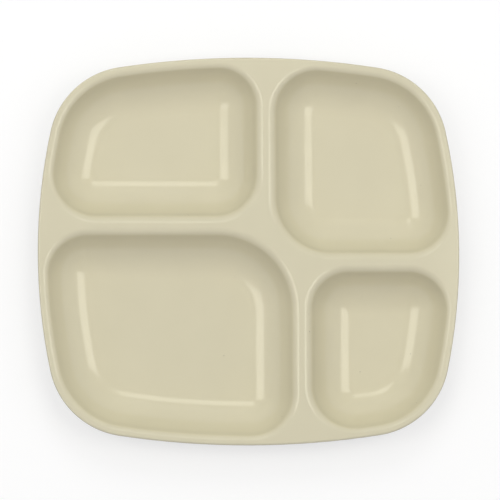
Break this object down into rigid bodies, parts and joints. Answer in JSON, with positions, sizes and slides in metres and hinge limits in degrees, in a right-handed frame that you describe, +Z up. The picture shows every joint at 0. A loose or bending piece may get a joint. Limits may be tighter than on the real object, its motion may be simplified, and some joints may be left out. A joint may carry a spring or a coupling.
{
  "type": "compartment tray",
  "caption": "Rounded-square meal tray with a narrow flat rim and dished compartments parted by flat-topped dividers, moulded in glossy sand-coloured plastic.",
  "frame": {"origin": "middle of the tray's outline, on the surface that its standing rings rest on", "axes": "+X along the tray's length to the right, +Y along its width to the back, +Z up out of the compartments"},
  "size_m": [0.21, 0.194, 0.02],
  "materials": {
    "tray_plastic": "glossy moulded plastic, sand coloured all through"
  },
  "bodies": {
    "root": {"rim": "tray_plastic", "back_divider": "tray_plastic", "front_divider": "tray_plastic", "left_divider": "tray_plastic", "right_divider": "tray_plastic", "divider_crossing": "tray_plastic", "back_left_basin": "tray_plastic", "back_right_basin": "tray_plastic", "front_left_basin": "tray_plastic", "front_right_basin": "tray_plastic"}
  },
  "joints": []
}
